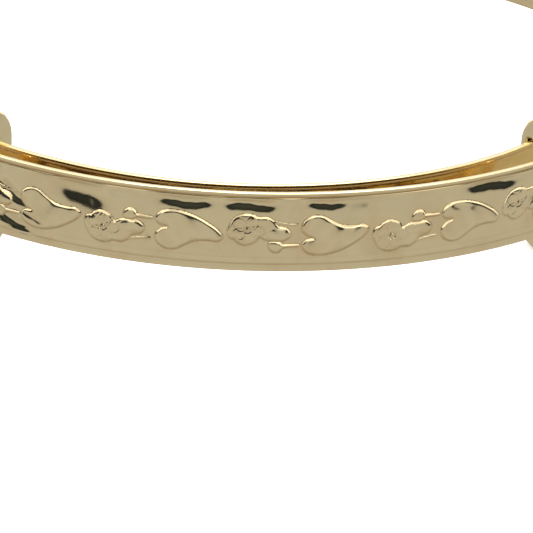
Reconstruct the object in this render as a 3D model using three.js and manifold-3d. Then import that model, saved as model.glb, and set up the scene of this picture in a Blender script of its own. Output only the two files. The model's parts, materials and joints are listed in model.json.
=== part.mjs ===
// Expanding bangle bracelet: one sprung, embossed metal strip wound a little over one turn.
// The strip's two ends overlap at the front. Each end carries a slotted collar, and the other
// layer of the strip slides through that collar's slot, so the ring opens by flexing and sliding.
//
// Millimetres, +Z up along the ring's axis. The front of the ring faces -Y.
// An azimuth is an angle about +Z, counted from the front (-Y) towards the right (+X).

import * as THREE from 'three';
import { mergeVertices } from 'three/addons/utils/BufferGeometryUtils.js';
import Module from 'manifold-3d';

const wasm = await Module();
wasm.setup();

// --- Driving dimensions -------------------------------------------------------------------

const degree = Math.PI / 180;

// Strip
const ringRadius = 27.5; // ring axis to the outer face of the outer turn
const stripWidth = 5.0;
const stripThickness = 0.42;
const rimWidth = 0.32; // raised rim along each long edge of the strip
const rimRelief = 0.1; // how far a rim stands proud of the sunk face between the rims

// Flexing: the strip is divided into short stiff lengths, with a hinge line between neighbours
const stripLengths = 17;
const flexGap = 0.1; // slit at each hinge line
const stepsPerLength = 8; // flats that make up the curve of one length

// Winding
const outerEndAzimuth = -37 * degree; // middle of the collar on the strip's outer end
const innerEndAzimuth = 44 * degree; // middle of the collar on the strip's inner end
const windInAzimuth = 90 * degree; // where the outer turn starts to wind inwards
const curlAzimuth = -19 * degree; // where the inner end starts to curl in more tightly
const outerEndGap = 1.13; // between the two layers at the outer end's collar
const innerEndGap = 1.9; // between the two layers at the inner end's collar

// Collars
const collarThickness = 0.9;
const collarWall = 0.5; // metal either side of the longer slot, along the ring's radius
const collarEar = 1.8; // metal above and below the slot, along the ring's axis
const collarChamfer = 0.12;
const slotCornerRadius = 0.15;
const slideClearance = 0.3; // slot wall to the layer that slides through it, along the ring's radius
const slotHeadroom = 0.1; // slot to the strip's long edges, along the ring's axis
const solderSeam = 0.06; // slot wall to the layer that is soldered to it
const capSteps = 14;
const cornerSteps = 3;

// Metal
const goldColour = 0xd6c184;
const goldRoughness = 0.18;

// --- Winding of the strip -----------------------------------------------------------------

// Unit vector from the ring's axis towards an azimuth.
function outward(azimuth) {
  return new THREE.Vector2(Math.sin(azimuth), -Math.cos(azimuth));
}

// Unit vector along the ring at an azimuth, in the direction of growing azimuth.
function along(azimuth) {
  return new THREE.Vector2(Math.cos(azimuth), Math.sin(azimuth));
}

function versine(angle) {
  return 1 - Math.cos(angle);
}

// An arc's middle line, tangent to the arc before it at the azimuth where it starts.
function tangentArc(previous, startAzimuth, radius) {
  const shift = outward(startAzimuth).multiplyScalar(previous.radius - radius);
  return { centre: previous.centre.clone().add(shift), radius, start: startAzimuth };
}

// Distance from the ring's axis to a curve parallel to an arc, seen at one azimuth.
function reach(arc, offset, azimuth) {
  const sideways = arc.centre.dot(along(azimuth));
  return arc.centre.dot(outward(azimuth)) + Math.sqrt((arc.radius + offset) ** 2 - sideways ** 2);
}

const halfThickness = stripThickness / 2;
const halfCollar = collarThickness / 2;

// Three tangent arcs: the outer turn, the turn that winds in, and the tighter inner end.
const outerRadius = ringRadius - halfThickness;
const windInStep = (stripThickness + outerEndGap) / versine(outerEndAzimuth - windInAzimuth);
const curlStep = (stripThickness + innerEndGap - windInStep * versine(innerEndAzimuth - windInAzimuth))
  / versine(innerEndAzimuth - curlAzimuth);

const fullTurn = 2 * Math.PI;
const outerArc = {
  centre: new THREE.Vector2(0, 0),
  radius: outerRadius,
  start: outerEndAzimuth - Math.atan(halfCollar / outerRadius),
};
const windInArc = tangentArc(outerArc, windInAzimuth, outerRadius - windInStep);
const innerArc = tangentArc(windInArc, curlAzimuth + fullTurn, windInArc.radius - curlStep);
const innerEndLean = Math.asin((halfCollar - innerArc.centre.dot(along(innerEndAzimuth))) / innerArc.radius);
outerArc.end = windInArc.start;
windInArc.end = innerArc.start;
innerArc.end = innerEndAzimuth + fullTurn + innerEndLean;

const winding = [outerArc, windInArc, innerArc];
const stripLength = winding.reduce((sum, arc) => sum + arc.radius * (arc.end - arc.start), 0);

// The strip's middle line at a distance from its outer end: the point and the local azimuth.
function stripAt(distance) {
  let left = distance;
  for (const arc of winding) {
    const span = arc.radius * (arc.end - arc.start);
    if (left <= span || arc === innerArc) {
      const azimuth = arc.start + left / arc.radius;
      const point = outward(azimuth).multiplyScalar(arc.radius).add(arc.centre);
      return { point, azimuth };
    }
    left -= span;
  }
}

// --- Solids -------------------------------------------------------------------------------

function toSolid(geometry) {
  const bare = geometry.clone();
  bare.deleteAttribute('normal');
  bare.deleteAttribute('uv');
  const merged = mergeVertices(bare, 1e-4);
  return new wasm.Manifold(new wasm.Mesh({
    numProp: 3,
    vertProperties: new Float32Array(merged.attributes.position.array),
    triVerts: new Uint32Array(merged.index.array),
  }));
}

function toGeometry(solid) {
  const mesh = solid.getMesh();
  const geometry = new THREE.BufferGeometry();
  geometry.setAttribute('position', new THREE.BufferAttribute(mesh.vertProperties, 3));
  geometry.setIndex(new THREE.BufferAttribute(mesh.triVerts, 1));
  geometry.computeVertexNormals();
  return geometry;
}

function gold() {
  return new THREE.MeshStandardMaterial({ color: goldColour, roughness: goldRoughness, metalness: 1 });
}

// A band that follows the strip between two distances, from one face offset to another.
function band(from, to, innerOffset, outerOffset, bottom, height) {
  const outerSide = [];
  const innerSide = [];
  for (let step = 0; step <= stepsPerLength; step += 1) {
    const { point, azimuth } = stripAt(from + (to - from) * step / stepsPerLength);
    outerSide.push(point.clone().addScaledVector(outward(azimuth), outerOffset));
    innerSide.unshift(point.clone().addScaledVector(outward(azimuth), innerOffset));
  }
  const outline = new THREE.Shape([...outerSide, ...innerSide]);
  const geometry = new THREE.ExtrudeGeometry(outline, { depth: height, bevelEnabled: false });
  return geometry.translate(0, 0, bottom);
}

// One length of the strip: a sunk face between two raised rims.
function stripPiece(index) {
  const lengthEach = stripLength / stripLengths;
  const from = index * lengthEach + (index > 0 ? flexGap / 2 : 0);
  const to = (index + 1) * lengthEach - (index < stripLengths - 1 ? flexGap / 2 : 0);
  const halfWidth = stripWidth / 2;
  const web = toSolid(band(from, to, -halfThickness, halfThickness - rimRelief, -halfWidth, stripWidth));
  const lowRim = toSolid(band(from, to, -halfThickness, halfThickness, -halfWidth, rimWidth));
  const highRim = toSolid(band(from, to, -halfThickness, halfThickness, halfWidth - rimWidth, rimWidth));
  const mesh = new THREE.Mesh(toGeometry(web.add(lowRim).add(highRim)), gold());
  mesh.name = `strip_${String(index + 1).padStart(2, '0')}`;
  return mesh;
}

// Upright outline with round ends, centred on the origin: x across the slot, y up the ears.
function stadium(width, height) {
  const capRadius = width / 2;
  const capCentre = height / 2 - capRadius;
  const outline = new THREE.Shape();
  outline.absarc(0, capCentre, capRadius, 0, Math.PI);
  outline.absarc(0, -capCentre, capRadius, Math.PI, fullTurn);
  outline.closePath();
  return outline.getPoints(capSteps);
}

function roundedSlot(left, right, halfHeight) {
  const r = slotCornerRadius;
  const slot = new THREE.Path();
  slot.absarc(right - r, halfHeight - r, r, 0, Math.PI / 2);
  slot.absarc(left + r, halfHeight - r, r, Math.PI / 2, Math.PI);
  slot.absarc(left + r, r - halfHeight, r, Math.PI, Math.PI * 1.5);
  slot.absarc(right - r, r - halfHeight, r, Math.PI * 1.5, fullTurn);
  slot.closePath();
  return slot.getPoints(cornerSteps);
}

// Both collars have one outline. It is set about the slot that the two layers need at the inner end.
const innerLayerFace = reach(innerArc, -halfThickness, innerEndAzimuth);
const innerLayerTaper = halfCollar * Math.tan(Math.abs(innerArc.end - fullTurn - innerEndAzimuth));
const slotFloor = innerLayerFace - innerLayerTaper - solderSeam;
const slotRoof = ringRadius + slideClearance;
const slidingLayerFace = reach(windInArc, -halfThickness, outerEndAzimuth);
const outerEndSlotFloor = slidingLayerFace - slideClearance;
const collarWidth = slotRoof - slotFloor + 2 * collarWall;
const collarRadius = (slotRoof + slotFloor) / 2;
const slotHalfHeight = stripWidth / 2 + slotHeadroom;
const collarHeight = 2 * (slotHalfHeight + collarEar);

// A slotted collar standing square across the strip, with its slot between two distances
// from the ring's axis.
function collar(name, azimuth, floor, roof) {
  const outline = new THREE.Shape(stadium(collarWidth, collarHeight));
  outline.holes.push(new THREE.Path(roundedSlot(floor - collarRadius, roof - collarRadius, slotHalfHeight)));
  const geometry = new THREE.ExtrudeGeometry(outline, {
    depth: collarThickness - 2 * collarChamfer,
    bevelEnabled: true,
    bevelThickness: collarChamfer,
    bevelSize: collarChamfer,
    bevelOffset: -collarChamfer,
    bevelSegments: 1,
  });
  geometry.translate(0, 0, collarChamfer - halfCollar);
  const mesh = new THREE.Mesh(geometry, gold());
  mesh.name = name;
  mesh.rotation.x = Math.PI / 2;
  mesh.position.x = collarRadius;
  const arm = new THREE.Group();
  arm.rotation.z = azimuth - Math.PI / 2;
  arm.add(mesh);
  return arm;
}

// --- Assembly -----------------------------------------------------------------------------

function bangle() {
  const ring = new THREE.Group();
  for (let index = 0; index < stripLengths; index += 1) {
    ring.add(stripPiece(index));
  }
  ring.add(collar('outer_end_collar', outerEndAzimuth, outerEndSlotFloor, ringRadius + solderSeam));
  ring.add(collar('inner_end_collar', innerEndAzimuth, slotFloor, slotRoof));

  // The origin is the middle of the whole bangle.
  ring.updateMatrixWorld(true);
  const middle = new THREE.Box3().setFromObject(ring, true).getCenter(new THREE.Vector3());
  ring.position.sub(middle);
  const bracelet = new THREE.Group();
  bracelet.add(ring);
  return bracelet;
}

export default bangle();
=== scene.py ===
import json
import math

import bmesh
import bpy
import numpy as np
from mathutils import Matrix, Vector


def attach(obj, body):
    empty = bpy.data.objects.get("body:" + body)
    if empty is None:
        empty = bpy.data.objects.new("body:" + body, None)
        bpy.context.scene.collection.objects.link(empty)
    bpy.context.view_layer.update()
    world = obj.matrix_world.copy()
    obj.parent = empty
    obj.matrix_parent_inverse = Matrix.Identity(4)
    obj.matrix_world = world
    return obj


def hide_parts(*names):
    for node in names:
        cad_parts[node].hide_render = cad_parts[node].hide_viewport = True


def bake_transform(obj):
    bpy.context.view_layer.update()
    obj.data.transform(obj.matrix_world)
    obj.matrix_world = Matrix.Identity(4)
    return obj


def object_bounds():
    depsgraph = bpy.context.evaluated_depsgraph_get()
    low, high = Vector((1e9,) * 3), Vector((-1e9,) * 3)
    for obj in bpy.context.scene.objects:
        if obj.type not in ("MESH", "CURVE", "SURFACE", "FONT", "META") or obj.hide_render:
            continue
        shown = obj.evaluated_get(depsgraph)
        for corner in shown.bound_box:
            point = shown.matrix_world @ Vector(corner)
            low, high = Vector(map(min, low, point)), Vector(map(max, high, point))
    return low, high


bl_info = {
    "name": "Expanding Bangle",
    "version": (1, 0, 0),
    "blender": (4, 5, 0),
    "location": "View3D > Sidebar > Bangle",
    "description": "Embossed expanding bangle: one sprung strip with a slotted collar on each end",
    "category": "Object",
}

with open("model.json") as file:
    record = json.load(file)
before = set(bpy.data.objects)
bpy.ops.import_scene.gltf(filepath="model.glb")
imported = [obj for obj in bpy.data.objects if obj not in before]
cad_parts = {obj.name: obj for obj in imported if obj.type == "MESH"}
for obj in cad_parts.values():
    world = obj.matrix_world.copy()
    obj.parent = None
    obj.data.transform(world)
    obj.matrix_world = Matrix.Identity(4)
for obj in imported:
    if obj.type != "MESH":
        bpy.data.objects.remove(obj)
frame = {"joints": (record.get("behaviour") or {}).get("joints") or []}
cad_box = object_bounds()

MM = 0.001
HALF_TURN = math.pi
FULL_TURN = 2 * math.pi
STRIP_LENGTHS = 17
STRIP_NODES = [f"strip_{number:02d}" for number in range(1, STRIP_LENGTHS + 1)]


def length(name, text, default, **more):
    """A size in metres."""
    return bpy.props.FloatProperty(
        name=name, description=text, default=default, min=0.0, precision=5, subtype="DISTANCE", unit="LENGTH", **more)


def angle(name, text, degrees):
    return bpy.props.FloatProperty(name=name, description=text, default=math.radians(degrees), subtype="ANGLE", unit="ROTATION")


def colour(name, text, default):
    return bpy.props.FloatVectorProperty(name=name, description=text, default=default, size=3, min=0.0, max=1.0, subtype="COLOR")


class BangleSizes(bpy.types.PropertyGroup):
    """Sizes of the strip, its winding and its collars."""
    ring_radius: length("Ring Radius", "Ring axis to the outer face of the outer turn", 27.5 * MM)
    strip_width: length("Strip Width", "Width of the strip along the ring's axis", 5.0 * MM)
    strip_thickness: length("Strip Thickness", "Thickness of the strip over its rims", 0.42 * MM)
    edge_radius: length("Edge Radius", "Rounding of the embossed face's two long edges", 0.06 * MM)
    back_radius: length("Back Radius", "Rounding of the back's two long edges", 0.17 * MM)
    rim_width: length("Rim Width", "Raised rim along each long edge", 0.32 * MM)
    rim_relief: length("Rim Relief", "How far a rim stands above the sunk face", 0.1 * MM)
    outer_end: angle("Outer End", "Where the collar on the strip's outer end stands", -37)
    inner_end: angle("Inner End", "Where the collar on the strip's inner end stands", 44)
    wind_in: angle("Wind In", "Where the outer turn starts to wind inwards", 90)
    curl: angle("Curl", "Where the inner end starts to curl in more tightly", -19)
    outer_end_gap: length("Outer End Gap", "Gap between the two layers at the outer end's collar", 1.13 * MM)
    inner_end_gap: length("Inner End Gap", "Gap between the two layers at the inner end's collar", 1.9 * MM)
    collar_thickness: length("Collar Thickness", "Thickness of a collar along the strip", 0.9 * MM)
    collar_wall: length("Collar Wall", "Metal either side of the longer slot", 0.5 * MM)
    collar_ear: length("Collar Ear", "Metal above and below a collar's slot", 1.8 * MM)
    collar_edge: length("Collar Edge", "Rounding of a collar's edges", 0.16 * MM)
    slot_corner: length("Slot Corner", "Corner radius of a collar's slot", 0.15 * MM)
    slide_clearance: length("Slide Clearance", "Slot wall to the layer that slides through it", 0.3 * MM)
    slot_headroom: length("Slot Headroom", "Slot to the strip's long edges, along the ring's axis", 0.1 * MM)
    solder_seam: length("Solder Seam", "Slot wall to the layer that is soldered to it", 0.06 * MM)


class BangleRelief(bpy.types.PropertyGroup):
    """Sizes of the pressed pattern on the strip's outer face."""
    motifs: bpy.props.IntProperty(name="Motifs", description="Heart and flower motifs along the whole strip", default=24, min=2)
    first_heart: length("First Heart", "Strip's outer end to the middle of its first heart", 6.24 * MM)
    pattern_middle: bpy.props.FloatProperty(
        name="Pattern Middle", description="Height of the line that every second motif is mirrored about",
        default=-0.17 * MM, precision=5, subtype="DISTANCE", unit="LENGTH")
    height: length("Height", "How far the hearts and flowers stand above the sunk face", 0.062 * MM)
    crest: length("Crest", "How far in from its edge a raised shape goes on rounding over", 0.05 * MM)
    low_rim: bpy.props.FloatProperty(
        name="Low Rim", description="Height of the lower rim against that of the upper one", default=0.0,
        min=0.0, max=1.0, subtype="FACTOR")
    grid: length("Grid", "Spacing at which the relief is worked out", 0.02 * MM)
    row: length("Row", "Spacing of the mesh's points on the embossed face", 0.062 * MM)


class BangleFinish(bpy.types.PropertyGroup):
    """Colours of the metal and the studio."""
    gold: colour("Gold", "Polished pale yellow gold", (0.94, 0.80, 0.49))
    gold_deep: colour("Deep Gold", "Slightly pinker tone that drifts through the metal", (0.89, 0.71, 0.42))
    # Painted shade: brown mixed into the metal's colour in the creases and round the feet of the raised shapes,
    # standing in for the darker repeated reflections there.
    crease_shade_colour: colour("Crease Shade", "Brown film in the creases and round the feet of the raised shapes", (0.62, 0.42, 0.2))
    roughness: bpy.props.FloatProperty(name="Roughness", description="Roughness of the polish", default=0.03, min=0.0, max=1.0)
    back_roughness: bpy.props.FloatProperty(
        name="Back Roughness", description="Roughness of the strip's unpolished back", default=0.2, min=0.0, max=1.0)
    back_ripple: length("Back Ripple", "Height of the ripples that rolling left on the strip's back", 0.12 * MM)
    floor: colour("Floor", "Plain floor under the bangle", (0.9, 0.9, 0.9))


class BangleSettings(bpy.types.PropertyGroup):
    sizes: bpy.props.PointerProperty(type=BangleSizes)
    relief: bpy.props.PointerProperty(type=BangleRelief)
    finish: bpy.props.PointerProperty(type=BangleFinish)


# --- Winding of the strip -------------------------------------------------------------------


def outward(azimuth):
    """Unit vector away from the ring's axis; an azimuth counts from the front, -Y, towards +X."""
    return Vector((math.sin(azimuth), -math.cos(azimuth), 0.0))


def along(azimuth):
    return Vector((math.cos(azimuth), math.sin(azimuth), 0.0))


def ring_axis():
    """Centre of the outer turn, from three of the hinge lines that lie on it."""
    places = {joint["name"]: Vector(joint["pos_m"]) for joint in frame["joints"]}
    a, b, c = (places[name].to_2d() for name in ("flex_01", "flex_03", "flex_05"))
    sides = Matrix((b - a, c - a))
    heights = Vector(((b.length_squared - a.length_squared) / 2, (c.length_squared - a.length_squared) / 2))
    return (sides.inverted() @ heights).to_3d()


class Arc:
    """One arc of the strip's middle line."""

    def __init__(self, centre, radius, start):
        self.centre, self.radius, self.start = centre, radius, start

    def wind_on(self, azimuth, radius):
        """The next arc, tangent to this one at an azimuth."""
        self.end = azimuth
        return Arc(self.centre + outward(azimuth) * (self.radius - radius), radius, azimuth)

    def reach(self, offset, azimuth, axis):
        """Distance from the ring's axis to a curve parallel to this arc, seen at one azimuth."""
        centre = self.centre - axis
        return centre.dot(outward(azimuth)) + math.sqrt((self.radius + offset) ** 2 - centre.dot(along(azimuth)) ** 2)


class Winding:
    """The strip's middle line: the outer turn, the turn that winds in, and the tighter inner end."""

    def __init__(self, sizes):
        def versine(turn):
            return 1 - math.cos(turn)

        self.axis = ring_axis()
        half_collar = sizes.collar_thickness / 2
        radius = sizes.ring_radius - sizes.strip_thickness / 2
        wind_step = (sizes.strip_thickness + sizes.outer_end_gap) / versine(sizes.outer_end - sizes.wind_in)
        curl_step = (sizes.strip_thickness + sizes.inner_end_gap - wind_step * versine(sizes.inner_end - sizes.wind_in)) \
            / versine(sizes.inner_end - sizes.curl)
        outer = Arc(self.axis, radius, sizes.outer_end - math.atan(half_collar / radius))
        winding_in = outer.wind_on(sizes.wind_in, radius - wind_step)
        inner = winding_in.wind_on(sizes.curl + FULL_TURN, winding_in.radius - curl_step)
        self.lean = math.asin((half_collar - (inner.centre - self.axis).dot(along(sizes.inner_end))) / inner.radius)
        inner.end = sizes.inner_end + FULL_TURN + self.lean
        self.arcs = [outer, winding_in, inner]
        self.length = 0.0
        for arc in self.arcs:
            arc.first = self.length
            self.length += arc.radius * (arc.end - arc.start)
            arc.last = self.length

    def arc_at(self, distance):
        return next((arc for arc in self.arcs if distance <= arc.last), self.arcs[-1])

    def azimuth_at(self, distance):
        arc = self.arc_at(distance)
        return arc.start + (distance - arc.first) / arc.radius

    def point_at(self, distance):
        arc = self.arc_at(distance)
        return arc.centre + outward(self.azimuth_at(distance)) * arc.radius


# --- Relief -----------------------------------------------------------------------------------


def smooth_outline(corners, steps=8):
    """A closed smooth curve through the corners."""
    corners = np.array(corners)
    before, after, later = (np.roll(corners, shift, axis=0) for shift in (1, -1, -2))
    points = []
    for t in np.arange(steps) / steps:
        points.append(0.5 * (2 * corners + (after - before) * t + (2 * before - 5 * corners + 4 * after - later) * t ** 2
                             + (3 * corners - before - 3 * after + later) * t ** 3))
    return np.stack(points, axis=1).reshape(-1, 2)


def depth_inside(outline, u, v):
    """How far inside a closed outline each point lies, and negative outside it."""
    nearest = np.full(u.shape, np.inf)
    inside = np.zeros(u.shape, dtype=bool)
    for (ax, ay), (bx, by) in zip(outline, np.roll(outline, -1, axis=0)):
        dx, dy = bx - ax, by - ay
        t = np.clip(((u - ax) * dx + (v - ay) * dy) / max(dx * dx + dy * dy, 1e-12), 0, 1)
        nearest = np.minimum(nearest, np.hypot(u - ax - t * dx, v - ay - t * dy))
        if ay != by:
            inside ^= ((ay > v) != (by > v)) & (u < ax + (v - ay) * dx / (by - ay))
    return np.where(inside, nearest, -nearest)


# Corners of each raised shape in millimetres from the middle of its heart, with its share of the full height.
HEART = [(-1.24, -0.2), (-1.62, -0.05), (-1.93, 0.32), (-1.82, 0.88), (-1.3, 1.2), (-0.72, 1.17), (-0.28, 0.92), (0.35, 0.58),
         (1.1, 0.48), (1.72, 0.52), (2.02, 0.2), (1.72, -0.22), (1.15, -0.62), (0.45, -1.0), (-0.4, -1.25), (-1.2, -1.27),
         (-1.72, -1.05), (-1.93, -0.62), (-1.7, -0.3)]
PETALS = [
    ([(2.26, -0.2), (2.38, 0.22), (2.68, 0.34), (2.9, 0.55), (3.3, 0.68), (3.82, 0.52), (4.12, 0.16), (4.45, 0.32), (5.0, 0.4),
      (5.55, 0.36), (5.92, 0.02), (5.74, -0.42), (5.22, -0.58), (4.98, -0.88), (4.58, -1.13), (4.05, -1.12), (3.75, -1.27), (3.2, -1.3),
      (2.74, -1.12), (2.46, -0.76)], 0.85),
    ([(4.3, -0.1), (4.5, 0.22), (5.0, 0.36), (5.5, 0.32), (5.85, 0.02), (5.7, -0.35), (5.2, -0.5), (4.6, -0.42)], 1.0),
    ([(4.72, 0.42), (4.66, 0.75), (4.86, 1.05), (5.2, 1.1), (5.46, 0.84), (5.42, 0.52), (5.1, 0.36)], 1.0),
    ([(5.42, 0.6), (5.9, 0.57), (6.3, 0.57), (6.5, 0.65), (6.3, 0.74), (5.9, 0.75), (5.42, 0.78)], 0.8),
    ([(4.6, -1.04), (5.2, -0.87), (5.8, -0.75), (6.3, -0.73), (6.3, -0.61), (5.8, -0.61), (5.2, -0.71), (4.6, -0.88)], 0.4),
]
BLOOM = (3.42, -0.32)  # middle of the flower's five round petals
PETAL_COUNT = 5


def ellipse(middle, half_length, half_width, turn):
    """Eight corners of an ellipse."""
    corners = []
    for step in range(8):
        a, b = half_length * math.cos(step * math.pi / 4), half_width * math.sin(step * math.pi / 4)
        corners.append((middle[0] + a * math.cos(turn) - b * math.sin(turn), middle[1] + a * math.sin(turn) + b * math.cos(turn)))
    return corners


def bloom():
    """Round petals about a small boss, each with its share of the full height and the depth of the line round it."""
    shapes = []
    for number in range(PETAL_COUNT):
        turn = math.radians(80) + number * FULL_TURN / PETAL_COUNT
        middle = (BLOOM[0] + 0.56 * math.cos(turn), BLOOM[1] + 0.5 * math.sin(turn))
        shapes.append((ellipse(middle, 0.44, 0.36, turn), 0.9 + 0.05 * (number % 2), 0.1))
    return shapes + [(ellipse(BLOOM, 0.2, 0.18, 0.0), 1.05, 0.2)]


# Shallow dents that handling and pressing have left in the visible front: millimetres from the strip's outer
# end, height on the strip, half length, half height, depth, and how much the dent leans.
DENTS = [
    (8.3, 1.5, 1.45, 0.72, 0.078, -0.16), (14.6, 1.76, 1.5, 0.32, 0.048, 0.0), (18.3, 1.8, 1.45, 0.34, 0.052, -0.03),
    (22.7, 1.82, 1.15, 0.27, 0.034, 0.0), (25.3, 1.9, 1.4, 0.5, 0.036, 0.0), (33.2, 1.95, 1.8, 0.42, 0.066, -0.06),
    (31.0, 0.85, 0.9, 0.28, 0.018, -0.22), (2.9, 0.85, 0.9, 0.42, 0.06, -0.5), (3.9, 0.3, 0.85, 0.34, 0.055, -0.45),
    (4.3, -0.72, 1.5, 0.17, 0.018, -0.2), (3.6, -1.3, 1.35, 0.36, 0.06, -0.3), (2.4, 1.5, 0.7, 0.36, 0.05, 0.2),
    (10.9, 1.95, 0.9, 0.26, 0.016, 0.0), (36.5, 0.6, 1.2, 0.5, 0.05, 0.2),
]


def hump(value, width):
    return np.exp(-(value / width) ** 2)


# The plain border along the strip's lower edge is set back a little.
BORDER_WIDTH = 0.56 * MM
BORDER_SLOPE = 0.12 * MM
BORDER_DEPTH = 0.02 * MM


class Relief:
    """Height of the strip's outer face against the top of its rims."""

    def __init__(self, sizes, relief, strip_length):
        self.grid = relief.grid
        self.repeat = 2 * strip_length / relief.motifs
        self.half_width = sizes.strip_width / 2
        self.first = relief.first_heart
        self.columns = round(self.repeat / self.grid)
        self.rows = round(sizes.strip_width / self.grid) + 1
        s, z = np.meshgrid(np.arange(self.columns) * self.repeat / self.columns,
                           np.linspace(-self.half_width, self.half_width, self.rows))
        self.fade = np.clip((self.half_width - np.abs(z) - sizes.rim_width) / (0.1 * MM), 0, 1)
        self.map = np.minimum(self.rims(sizes, relief, z) + self.raised(relief, s, z) * self.fade, 0.0)
        chance = np.random.default_rng(9)
        self.dents = [tuple(dent) for dent in DENTS]
        for place in np.arange(40.0, strip_length / MM, 3.1):
            self.dents.append((
                place + chance.uniform(-1, 1), chance.choice([1.65, 1.7, 1.8, -1.2, 0.4], p=[0.3, 0.25, 0.2, 0.15, 0.1]),
                chance.uniform(0.8, 1.7), chance.uniform(0.3, 0.5), chance.uniform(0.015, 0.06), chance.uniform(-0.2, 0.2)))
        self.swells = [
            (chance.uniform(-1, 1) * FULL_TURN / 2.2, chance.uniform(-1, 1) * FULL_TURN / 2.6, chance.uniform(0, FULL_TURN))
            for _ in range(14)]

    def raised(self, relief, s, z):
        """The hearts and flowers; every second motif is upside down."""
        result = np.zeros(s.shape)
        for number in range(-1, 3):
            way = 1 if number % 2 == 0 else -1
            for corners, share, groove in [(HEART, 1.0, 0.0)] + [(corners, share, 0.0) for corners, share in PETALS] + bloom():
                outline = smooth_outline(corners, 5)
                low, high = outline.min(axis=0) - 0.1, outline.max(axis=0) + 0.1
                across = s[0] / MM - number * self.repeat / 2 / MM
                near = np.flatnonzero((across > low[0]) & (across < high[0]))
                if not len(near):
                    continue
                patch = np.s_[:, near[0]:near[-1] + 1]
                u = (s[patch] - number * self.repeat / 2) / MM
                v = (z[patch] - relief.pattern_middle) / MM * way
                signed = depth_inside(outline, u, v)
                depth = np.maximum(signed, 0.0)
                crown = 1 - np.exp(-depth * MM / relief.crest) + 0.3 * (1 - np.exp(-depth / 0.45))
                uneven = 0.82 + 0.2 * np.sin(1.9 * u + 0.7) * np.cos(1.3 * v + 0.4 * u) + 0.08 * np.sin(5.3 * u - 3.1 * v)
                result[patch] = np.maximum(result[patch], share * relief.height * crown * uneven) \
                    - groove * relief.height * hump(signed, 0.045)
        return result

    def rims(self, sizes, relief, z):
        """A raised rim along each edge with a fine crease inside it, a thread line and the lower border."""
        inside = self.half_width - np.abs(z)
        strength = np.where(z > 0, 1.0, relief.low_rim)
        span = np.where(z > 0, 0.5, 0.9) * sizes.rim_width
        rise = np.sin(np.clip((sizes.rim_width - inside) / span, 0, 1) * HALF_TURN / 2)
        crease = 0.014 * MM * hump((inside - sizes.rim_width) / MM, 0.035) * np.maximum(strength, 0.12)
        thread = 0.003 * MM * hump(z / MM + 1.68, 0.07)
        lower_border = np.where(z < 0, np.clip((BORDER_WIDTH - inside) / BORDER_SLOPE, 0, 1), 0.0)
        set_back = BORDER_DEPTH * (1 - np.cos(lower_border * HALF_TURN)) / 2
        return sizes.rim_relief * (strength * rise - 1) - crease + thread - set_back

    def soft_dents(self, distance, z):
        """Dents and slow swells, in metres."""
        s, z = distance / MM, z / MM
        result = np.zeros(s.shape)
        for place, level, half_length, half_height, depth, lean in self.dents:
            near = np.abs(s - place) < 3 * half_length
            if near.any():
                ds = s[near] - place
                wander = 0.05 * np.sin(2.6 * s[near] + 2.0 * place) + 0.014 * np.sin(8.3 * s[near] - place)
                result[near] -= depth * hump((ds / half_length) ** 2, 1.0) * hump(z[near] - level - lean * ds - wander, half_height)
        for turn_s, turn_z, start in self.swells:
            result += 0.0021 * np.sin(turn_s * s + turn_z * z + start)
        fade = np.clip((self.half_width / MM - np.abs(z) - 0.32) / 0.25, 0, 1)
        return result * fade * MM

    def pressed(self, distance, z):
        """The repeating pattern, read between the points of its grid."""
        column = ((distance - self.first) % self.repeat) / self.repeat * self.columns
        row = np.clip((z + self.half_width) / (2 * self.half_width) * (self.rows - 1), 0, self.rows - 1.001)
        c, r = np.floor(column).astype(int), np.floor(row).astype(int)
        fc, fr = column - c, row - r
        c %= self.columns
        after = (c + 1) % self.columns
        low = self.map[r, c] * (1 - fc) + self.map[r, after] * fc
        high = self.map[r + 1, c] * (1 - fc) + self.map[r + 1, after] * fc
        return low * (1 - fr) + high * fr

    def height(self, distance, z):
        return np.minimum(self.pressed(distance, z) + self.soft_dents(distance, z), 0.0)

    def slopes(self, distance, z):
        """The two slopes of the face, along the strip and up it."""
        step = self.grid
        slope_s = (self.height(distance + step, z) - self.height(distance - step, z)) / (2 * step)
        slope_z = (self.height(distance, z + step) - self.height(distance, z - step)) / (2 * step)
        return slope_s, slope_z

    def hollow(self, distance, z):
        """Mask for the painted crease shade: one at the foot of a raised shape or in a crease, nothing on open faces.
        """
        step = 5 * self.grid
        around = (self.height(distance + step, z) + self.height(distance - step, z)
                  + self.height(distance, z + step) + self.height(distance, z - step)) / 4
        return np.clip((around - self.height(distance, z)) / (0.011 * MM), 0, 1)


# --- Shader maths ------------------------------------------------------------------------------


class Socket:
    """An output of a node, or a number, that Python's own signs can do sums with."""

    def __init__(self, graph, value):
        self.graph, self.value = graph, value

    def sum(self, operation, *values):
        return self.graph.node("ShaderNodeMath", {"operation": operation}, dict(enumerate(values)))

    def __add__(self, other):
        return self.sum("ADD", self, other)

    __radd__ = __add__

    def __mul__(self, other):
        return self.sum("MULTIPLY", self, other)

    __rmul__ = __mul__

    def __sub__(self, other):
        return self.sum("SUBTRACT", self, other)

    def __rsub__(self, other):
        return self.sum("SUBTRACT", other, self)

    def clamp(self):
        return self.graph.node("ShaderNodeClamp", {}, {"Value": self})

    def smooth(self, low, high):
        """Zero below low, one above high, and a soft rise between them."""
        return self.graph.node(
            "ShaderNodeMapRange", {"interpolation_type": "SMOOTHSTEP"}, {"Value": self, "From Min": low, "From Max": high})


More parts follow.
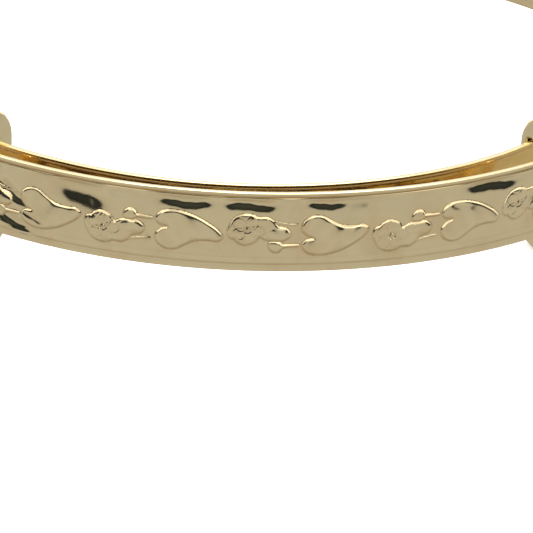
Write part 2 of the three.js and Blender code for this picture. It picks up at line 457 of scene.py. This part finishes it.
class Graph:
    """The nodes of one material or world."""

    def __init__(self, tree):
        self.tree = tree
        tree.nodes.clear()

    def node(self, kind, settings=None, inputs=None, output=0):
        """Adds one node: its settings first, then the values or links of its sockets."""
        made = self.tree.nodes.new(kind)
        for name, value in (settings or {}).items():
            if name == "stops":
                ramp = made.color_ramp
                while len(ramp.elements) < len(value):
                    ramp.elements.new(1.0)
                for element, (place, shade) in zip(ramp.elements, value):
                    element.position, element.color = place, (*shade, 1.0)
            elif name == "interpolation":
                made.color_ramp.interpolation = value
            else:
                setattr(made, name, value)
        for name, value in (inputs or {}).items():
            if isinstance(value, Socket):
                self.tree.links.new(value.value, made.inputs[name])
            else:
                made.inputs[name].default_value = value
        return Socket(self, made.outputs[output]) if made.outputs else made

    def mix(self, factor, low, high):
        return self.node("ShaderNodeMix", {"data_type": "RGBA"}, {0: factor, 6: low, 7: high}, output=2)

    def noise(self, place, scale, detail=2.0, roughness=0.5):
        return self.node("ShaderNodeTexNoise", {}, {"Vector": place, "Scale": scale, "Detail": detail, "Roughness": roughness})


def gold_material(name, finish, roughness, ripple):
    """Polished pale gold: a slow drift in tone, painted brown shade in the creases, and the faint haze and hairlines
    that a cloth leaves.
    """
    material = bpy.data.materials.new(name)
    material.use_nodes = True
    graph = Graph(material.node_tree)
    place = graph.node("ShaderNodeTexCoord", {}, {}, output=3)
    drift = graph.noise(place, 420.0, 4.0, 0.6).smooth(0.4, 0.68)
    haze = graph.noise(place, 900.0, 4.0, 0.6).smooth(0.3, 0.8)
    stretched = graph.node("ShaderNodeMapping", {}, {"Vector": place, "Scale": (1.0, 1.0, 14.0)})
    hairlines = graph.noise(stretched, 2600.0, 4.0, 0.7)
    tone = graph.mix(drift * 0.9, (*finish.gold, 1.0), (*finish.gold_deep, 1.0))
    # Painted shade: the crease mask mixes brown into the tone in creases and round the feet of raised shapes.
    hollow = graph.node("ShaderNodeAttribute", {"attribute_name": "hollow"}, {}, output=2)
    tone = graph.mix(hollow * 0.55, tone, (*finish.crease_shade_colour, 1.0))
    rough = haze * 0.03 + hairlines * 0.02 + roughness
    bump = graph.node("ShaderNodeBump", {}, {"Strength": 0.05, "Distance": 0.00002, "Height": haze + hairlines * 0.6})
    if ripple:
        rolled = graph.node("ShaderNodeMapping", {}, {"Vector": place, "Scale": (1.0, 1.0, 2.6)})
        bump = graph.node("ShaderNodeBump", {}, {
            "Strength": 0.5, "Distance": ripple, "Height": graph.noise(rolled, 620.0, 2.0, 0.5), "Normal": bump})
    metal = graph.node("ShaderNodeBsdfPrincipled", {}, {
        "Base Color": tone, "Metallic": 1.0, "Roughness": rough, "IOR": 1.5, "Normal": bump})
    graph.node("ShaderNodeOutputMaterial", {}, {"Surface": metal})
    return material


# --- Pieces ------------------------------------------------------------------------------------


def settings():
    return bpy.context.scene.bangle


def shared_gold(name, roughness, ripple):
    """One polish for the strip's face and the collars, and a duller, rippled one for the strip's rolled back."""
    return bpy.data.materials.get(name) or gold_material(name, settings().finish, roughness, ripple)


def finished(name, bm):
    """Turns a bmesh into a smooth gold piece."""
    mesh = bpy.data.meshes.new(name)
    bm.to_mesh(mesh)
    bm.free()
    mesh.polygons.foreach_set("use_smooth", [True] * len(mesh.polygons))
    mesh.materials.append(shared_gold("polished_gold", settings().finish.roughness, 0.0))
    piece = bpy.data.objects.new(name, mesh)
    bpy.context.scene.collection.objects.link(piece)
    return piece


def points_of(mesh, layer="co"):
    values = np.empty(len(mesh.vertices) * 3)
    mesh.vertices.foreach_get(layer, values)
    return values.reshape(-1, 3)


def round_corners(bm, corners, radius, steps):
    bmesh.ops.bevel(bm, geom=corners, offset=radius, affect="VERTICES", segments=steps, profile=0.5, material=-1)


def rectangle(bm, width, height, low_radius, high_radius, steps, matrix):
    """The bare outline of a rectangle, its corners rounded by one radius at low X and another at high X."""
    bmesh.ops.create_circle(bm, cap_ends=True, radius=math.sqrt(0.5), segments=4, matrix=Matrix.Rotation(math.pi / 4, 4, "Z"))
    bmesh.ops.scale(bm, vec=(width, height, 1.0), verts=bm.verts[:])
    round_corners(bm, [vert for vert in bm.verts if vert.co.x > 0], high_radius, steps)
    round_corners(bm, [vert for vert in bm.verts if vert.co.x < -width / 2 + 1e-7], low_radius, steps)
    bmesh.ops.delete(bm, geom=bm.faces[:], context="FACES_ONLY")
    bmesh.ops.transform(bm, matrix=matrix, verts=bm.verts[:])


def strip_section(bm, sizes, rows):
    """The strip's cross-section standing on X and Z, finely divided where the relief will be."""
    upright = Matrix.Rotation(math.pi / 2, 4, "X")
    rectangle(bm, sizes.strip_thickness, sizes.strip_width, sizes.back_radius, sizes.edge_radius, 4, upright)
    faces = [edge for edge in bm.edges if edge.calc_length() > sizes.strip_width / 2]
    outer = [edge for edge in faces if edge.verts[0].co.x > 0]
    inner = [edge for edge in faces if edge.verts[0].co.x < 0]
    bmesh.ops.subdivide_edges(bm, edges=outer, cuts=rows)
    bmesh.ops.subdivide_edges(bm, edges=inner, cuts=12)


def strip_piece(name, winding, relief_map, start, end):
    """One stretch of the strip, from one distance along it to another."""
    sizes, relief = settings().sizes, settings().relief
    rows = round(sizes.strip_width / relief.row)
    bm = bmesh.new()
    strip_section(bm, sizes, rows)
    azimuth = winding.azimuth_at(start)
    bmesh.ops.transform(
        bm, matrix=Matrix.Translation(winding.point_at(start)) @ Matrix.Rotation(azimuth - math.pi / 2, 4, "Z"), verts=bm.verts[:])
    front = bm.verts[:] + bm.edges[:]
    parts = [(arc, max(start, arc.first), min(end, arc.last)) for arc in winding.arcs]
    parts = [(arc, first, last) for arc, first, last in parts if first < last - 1e-7]
    for arc, first, last in parts:
        steps = max(1, round((last - first) / relief.row))
        spun = bmesh.ops.spin(
            bm, geom=front, cent=arc.centre, axis=(0, 0, 1), angle=(last - first) / arc.radius, steps=steps, use_duplicate=False)
        front = spun["geom_last"]
    bmesh.ops.holes_fill(bm, edges=[edge for edge in bm.edges if edge.is_boundary], sides=0)
    bmesh.ops.recalc_face_normals(bm, faces=bm.faces[:])
    piece = finished(name, bm)
    emboss(piece, sizes, relief_map, parts)
    return piece


def emboss(piece, sizes, relief_map, parts):
    """Presses the relief into the outer face, and gives each point the true normal there."""
    mesh = piece.data
    mesh.materials.append(shared_gold("dull_back_gold", settings().finish.back_roughness, settings().finish.back_ripple))
    co, normal = points_of(mesh), points_of(mesh, "normal")
    middle = (parts[0][1] + parts[-1][2]) / 2
    distance = np.full(len(co), np.nan)
    offset = np.zeros(len(co))
    ray = np.zeros((len(co), 3))
    for number, (arc, first, last) in enumerate(parts):
        flat = co - np.array(arc.centre)
        turn = np.arctan2(flat[:, 0], -flat[:, 1])
        near = arc.start + (middle - arc.first) / arc.radius
        turn = turn + FULL_TURN * np.round((near - turn) / FULL_TURN)
        place = arc.first + arc.radius * (turn - arc.start)
        mine = np.isnan(distance) if number == 0 else place > first
        distance[mine] = place[mine]
        radius = np.hypot(flat[:, 0], flat[:, 1])
        offset[mine] = (radius - arc.radius)[mine]
        ray[mine] = (np.stack([np.sin(turn), -np.cos(turn), np.zeros(len(co))], axis=1))[mine]
    tangent = np.stack([-ray[:, 1], ray[:, 0], np.zeros(len(co))], axis=1)
    face = (offset > sizes.strip_thickness / 2 - 1e-6) & (np.abs(co[:, 2]) < sizes.strip_width / 2 - sizes.edge_radius + 1e-7)
    rest_height = co[face, 2]
    height = relief_map.height(distance[face], rest_height)
    slope_s, slope_z = relief_map.slopes(distance[face], rest_height)
    co[face] += ray[face] * height[:, None]
    rounding = (offset > sizes.strip_thickness / 2 - sizes.edge_radius - 1e-6) & ~face
    co[rounding] += ray[rounding] * relief_map.height(distance[rounding], co[rounding, 2])[:, None]
    normal -= (normal * tangent).sum(axis=1, keepdims=True) * tangent
    normal[face] = ray[face] - slope_s[:, None] * tangent[face]
    normal[face, 2] -= slope_z
    normal /= np.linalg.norm(normal, axis=1, keepdims=True)
    back = offset < 1e-6 - sizes.strip_thickness / 2
    first, corner = np.empty(len(mesh.polygons), dtype=np.int32), np.empty(len(mesh.loops), dtype=np.int32)
    mesh.polygons.foreach_get("loop_start", first)
    mesh.loops.foreach_get("vertex_index", corner)
    mesh.polygons.foreach_set("material_index", (back[corner[first]] & back[corner[first + 2]]).astype(np.int32))
    # Mask for the painted crease shade, kept on each point for the material.
    hollow = np.zeros(len(co), dtype=np.float32)
    hollow[face] = relief_map.hollow(distance[face], rest_height)
    mesh.attributes.new("hollow", "FLOAT", "POINT").data.foreach_set("value", hollow)
    mesh.vertices.foreach_set("co", co.ravel())
    mesh.update()
    mesh.normals_split_custom_set_from_vertices(normal.tolist())


def collar_piece(name, winding, azimuth, floor, roof):
    """A slotted oval plate standing square across the strip, its slot between two distances from the ring's axis."""
    sizes = settings().sizes
    inner = winding.arcs[-1]
    lean = abs(winding.lean)
    slot_floor = inner.reach(-sizes.strip_thickness / 2, sizes.inner_end, winding.axis) \
        - sizes.collar_thickness / 2 * math.tan(lean) - sizes.solder_seam
    slot_roof = sizes.ring_radius + sizes.slide_clearance
    width = slot_roof - slot_floor + 2 * sizes.collar_wall
    radius = (slot_roof + slot_floor) / 2
    half_height = sizes.strip_width / 2 + sizes.slot_headroom
    floor = slot_floor if floor is None else floor
    roof = slot_roof if roof is None else roof

    bm = bmesh.new()
    slot_middle = Matrix.Translation(((roof + floor) / 2 - radius, 0, 0))
    rectangle(bm, roof - floor, 2 * half_height, sizes.slot_corner, sizes.slot_corner, 6, slot_middle)
    slot_edges = bm.edges[:]
    bmesh.ops.subdivide_edges(bm, edges=[edge for edge in slot_edges if edge.calc_length() > half_height], cuts=11)
    segments = 64
    half_step = Matrix.Rotation(math.pi / segments, 4, "Z")
    oval = bmesh.ops.create_circle(bm, radius=width / 2, segments=segments, matrix=half_step)["verts"]
    shift = half_height + sizes.collar_ear - width / 2
    bmesh.ops.translate(bm, vec=(0, shift, 0), verts=[vert for vert in oval if vert.co.y > 0])
    bmesh.ops.translate(bm, vec=(0, -shift, 0), verts=[vert for vert in oval if vert.co.y < 0])
    oval_edges = list({edge for vert in oval for edge in vert.link_edges})
    bmesh.ops.subdivide_edges(bm, edges=[edge for edge in oval_edges if edge.calc_length() > shift], cuts=11)
    bmesh.ops.bridge_loops(bm, edges=bm.edges[:])
    plate = bmesh.ops.extrude_face_region(bm, geom=bm.faces[:] + bm.edges[:] + bm.verts[:])["geom"]
    raised = [item for item in plate if isinstance(item, bmesh.types.BMVert)]
    bmesh.ops.translate(bm, vec=(0, 0, sizes.collar_thickness), verts=raised)
    bmesh.ops.translate(bm, vec=(0, 0, -sizes.collar_thickness / 2), verts=bm.verts[:])
    bmesh.ops.recalc_face_normals(bm, faces=bm.faces[:])
    rim = [edge for edge in bm.edges if edge.calc_face_angle(0.0) > math.radians(60)]
    bmesh.ops.bevel(bm, geom=rim, offset=sizes.collar_edge, affect="EDGES", segments=4, profile=0.5, material=-1)
    stood = Matrix.Translation((radius, 0, 0)) @ Matrix.Rotation(math.pi / 2, 4, "X")
    upright = Matrix.Rotation(azimuth - math.pi / 2, 4, "Z") @ stood
    bmesh.ops.transform(bm, matrix=Matrix.Translation(winding.axis) @ upright, verts=bm.verts[:])
    piece = finished(name, bm)
    weigh_normals(piece)
    return piece


def weigh_normals(piece):
    """Each point's normal leans to its largest faces, so flats stay flat and only the rounded edges turn."""
    mesh = piece.data
    normal = np.zeros((len(mesh.vertices), 3))
    for polygon in mesh.polygons:
        for vertex in polygon.vertices:
            normal[vertex] += np.array(polygon.normal) * polygon.area
    normal /= np.linalg.norm(normal, axis=1, keepdims=True)
    mesh.normals_split_custom_set_from_vertices(normal.tolist())


class BANGLE_OT_strip(bpy.types.Operator):
    """Make the embossed strip, in stretches"""
    bl_idname = "bangle.strip"
    bl_label = "Make Strip"

    def execute(self, context):
        winding = Winding(settings().sizes)
        relief_map = Relief(settings().sizes, settings().relief, winding.length)
        step = winding.length / STRIP_LENGTHS
        middles = [(number + 0.5) * step for number in range(STRIP_LENGTHS)]
        stretches = [strip_piece("strip_outer_end", winding, relief_map, 0.0, middles[0])]
        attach(stretches[0], "length_01")
        for number in range(1, STRIP_LENGTHS):
            start, end = middles[number - 1], middles[number]
            stretch = strip_piece(f"strip_stretch_{number:02d}", winding, relief_map, start, end)
            tuple(winding.point_at(start))
            tuple(winding.point_at(end))
            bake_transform(stretch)
            stretches.append(stretch)
        stretches.append(strip_piece("strip_inner_end", winding, relief_map, middles[-1], winding.length))
        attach(stretches[-1], f"length_{STRIP_LENGTHS:02d}")
        for stretch, node in zip(stretches, STRIP_NODES + STRIP_NODES[-1:]):
            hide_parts(node)
        return {"FINISHED"}


class BANGLE_OT_collars(bpy.types.Operator):
    """Make the slotted collar on each end of the strip"""
    bl_idname = "bangle.collars"
    bl_label = "Make Collars"

    def execute(self, context):
        sizes = settings().sizes
        winding = Winding(sizes)
        sliding_layer = winding.arcs[1].reach(-sizes.strip_thickness / 2, sizes.outer_end, winding.axis)
        outer = collar_piece("outer_end_oval_collar", winding, sizes.outer_end, sliding_layer - sizes.slide_clearance,
                             sizes.ring_radius + sizes.solder_seam)
        inner = collar_piece("inner_end_oval_collar", winding, sizes.inner_end, None, None)
        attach(outer, "length_01")
        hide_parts("outer_end_collar")
        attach(inner, f"length_{STRIP_LENGTHS:02d}")
        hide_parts("inner_end_collar")
        return {"FINISHED"}


# --- Stage ---------------------------------------------------------------------------------------


# Dark cards stood round the front, just under eye level: from and to, in degrees from the front towards the right.
DARK_CARDS = [(-80, -37), (-24, 9), (14, 28), (57, 79)]


def studio_world():
    """A grey surround low down, a bright soft sky, and dark cards standing between the two at the front."""
    world = bpy.data.worlds.new("studio")
    world.use_nodes = True
    bpy.context.scene.world = world
    graph = Graph(world.node_tree)

    def at(degrees):
        return degrees / 180 + 0.5

    direction = graph.node("ShaderNodeTexCoord", {}, {}, output=0)
    x, y, z = (graph.node("ShaderNodeSeparateXYZ", {}, {"Vector": direction}, output=axis) for axis in range(3))
    level = z.sum("ARCSINE", z) * (1 / math.pi) + 0.5
    turn = x.sum("ARCTAN2", x, y * -1.0) * (180 / math.pi)
    low = [(at(-90), (0.25, 0.23, 0.2)), (at(-60), (0.2, 0.178, 0.148)),
           (at(-34), (0.262, 0.252, 0.236)), (at(-27), (0.292, 0.283, 0.27))]
    open_sky = graph.node("ShaderNodeValToRGB", {"stops": low + [
        (at(-20.8), (0.27, 0.265, 0.256)), (at(-14), (0.29, 0.285, 0.275)),
        (at(0), (0.85, 0.83, 0.8)), (at(90), (1.0, 0.99, 0.97))]},
        {"Fac": level})
    carded = graph.node("ShaderNodeValToRGB", {"stops": low + [
        (at(-20.8), (0.27, 0.265, 0.256)), (at(-18.1), (0.215, 0.212, 0.207)), (at(-17.4), (0.01, 0.012, 0.014)),
        (at(-4), (0.036, 0.04, 0.038)), (at(-1), (0.9, 0.88, 0.84)), (at(90), (1.0, 0.99, 0.97))]}, {"Fac": level})
    cards = 0.0
    for first, last in DARK_CARDS:
        cards = turn.smooth(first - 2, first + 2) * (1 - turn.smooth(last - 2, last + 2)) + cards
    shade = graph.mix(cards, open_sky, carded)
    patches = graph.noise(direction, 2.4, 1.0).smooth(0.40, 0.60)
    shade = graph.mix(level.smooth(0.5, 0.52) * (1 - patches) * 0.6, shade, (0.16, 0.155, 0.15, 1.0))
    backdrop = graph.node("ShaderNodeBackground", {}, {"Color": shade, "Strength": 1.8})
    graph.node("ShaderNodeOutputWorld", {}, {"Surface": backdrop})


def studio_floor(finish):
    size = 3.0
    bm = bmesh.new()
    bmesh.ops.create_grid(bm, x_segments=1, y_segments=1, size=size)
    bmesh.ops.translate(bm, vec=(0, 0, cad_box[0][2] - 0.00002), verts=bm.verts[:])
    mesh = bpy.data.meshes.new("floor")
    bm.to_mesh(mesh)
    bm.free()
    floor = bpy.data.objects.new("floor", mesh)
    bpy.context.scene.collection.objects.link(floor)
    material = bpy.data.materials.new("matt_white_floor")
    material.use_nodes = True
    graph = Graph(material.node_tree)
    place = graph.node("ShaderNodeTexCoord", {}, {}, output=3)
    paper = graph.mix(graph.noise(place, 30.0), (*finish.floor, 1.0), (*[value * 0.985 for value in finish.floor], 1.0))
    matt = graph.node("ShaderNodeBsdfPrincipled", {}, {
        "Base Color": paper, "Roughness": 0.9, "Emission Color": paper, "Emission Strength": 0.35})
    graph.node("ShaderNodeOutputMaterial", {}, {"Surface": matt})
    mesh.materials.append(material)
    floor.visible_glossy = False


def studio_light(name, place, aim, size, power):
    lamp = bpy.data.lights.new(name, "AREA")
    lamp.shape, lamp.size, lamp.energy = "DISK", size, power
    light = bpy.data.objects.new(name, lamp)
    light.location = place
    light.rotation_euler = (Vector(aim) - Vector(place)).to_track_quat("-Z", "Y").to_euler()
    bpy.context.scene.collection.objects.link(light)


CAMERA_DISTANCE = 215.5 * MM  # from the ring's axis
CAMERA_TILT = 21.16  # degrees above the ring's middle
CAMERA_DIP = 3.568  # degrees that it looks below the ring's middle
CAMERA_YAW = 0.42
CAMERA_ROLL = 2.1
CAMERA_LENS = 222.2  # focal length in millimetres


def studio_camera(axis):
    """Close in front of the bangle and a little above it."""
    distance, tilt = CAMERA_DISTANCE, math.radians(CAMERA_TILT)
    yaw, pitch, roll = math.radians(CAMERA_YAW), tilt + math.radians(CAMERA_DIP), math.radians(CAMERA_ROLL)
    ahead = Vector((math.sin(yaw) * math.cos(pitch), math.cos(yaw) * math.cos(pitch), -math.sin(pitch)))
    level = Vector((math.cos(yaw), -math.sin(yaw), 0.0))
    above = level.cross(ahead)
    right = level * math.cos(roll) + above * math.sin(roll)
    up = above * math.cos(roll) - level * math.sin(roll)
    lens = bpy.data.cameras.new("camera")
    lens.lens, lens.sensor_width = CAMERA_LENS, 36.0
    lens.clip_start, lens.clip_end = 0.001, 10.0
    camera = bpy.data.objects.new("camera", lens)
    turn = Matrix((right, up, -ahead)).transposed().to_4x4()
    place = axis + Vector((0.0, -distance * math.cos(tilt), distance * math.sin(tilt)))
    camera.matrix_world = Matrix.Translation(place) @ turn
    bpy.context.scene.collection.objects.link(camera)
    bpy.context.scene.camera = camera


class BANGLE_OT_stage(bpy.types.Operator):
    """Make the floor, the soft studio light and the camera"""
    bl_idname = "bangle.stage"
    bl_label = "Make Stage"

    def execute(self, context):
        axis = ring_axis()
        studio_world()
        studio_floor(settings().finish)
        studio_light("overhead_softbox", (0.05, -0.02, 0.6), axis, 0.5, 3.0)
        studio_camera(axis)
        context.scene.view_settings.view_transform = "Standard"
        return {"FINISHED"}


class BANGLE_PT_maker(bpy.types.Panel):
    """Lists the bangle's pieces"""
    bl_label = "Expanding Bangle"
    bl_idname = "BANGLE_PT_maker"
    bl_space_type = "VIEW_3D"
    bl_region_type = "UI"
    bl_category = "Bangle"

    def draw(self, context):
        for operator in (BANGLE_OT_strip, BANGLE_OT_collars, BANGLE_OT_stage):
            self.layout.operator(operator.bl_idname)
        for group in (context.scene.bangle.sizes, context.scene.bangle.relief, context.scene.bangle.finish):
            box = self.layout.box()
            for name in group.__annotations__:
                box.prop(group, name)


CLASSES = (BangleSizes, BangleRelief, BangleFinish, BangleSettings,
           BANGLE_OT_strip, BANGLE_OT_collars, BANGLE_OT_stage, BANGLE_PT_maker)


def register():
    for made in CLASSES:
        bpy.utils.register_class(made)
    bpy.types.Scene.bangle = bpy.props.PointerProperty(type=BangleSettings)


def unregister():
    del bpy.types.Scene.bangle
    for made in reversed(CLASSES):
        bpy.utils.unregister_class(made)


def main():
    register()
    bpy.ops.bangle.strip()
    bpy.ops.bangle.collars()
    bpy.ops.bangle.stage()


if __name__ == "__main__":
    main()
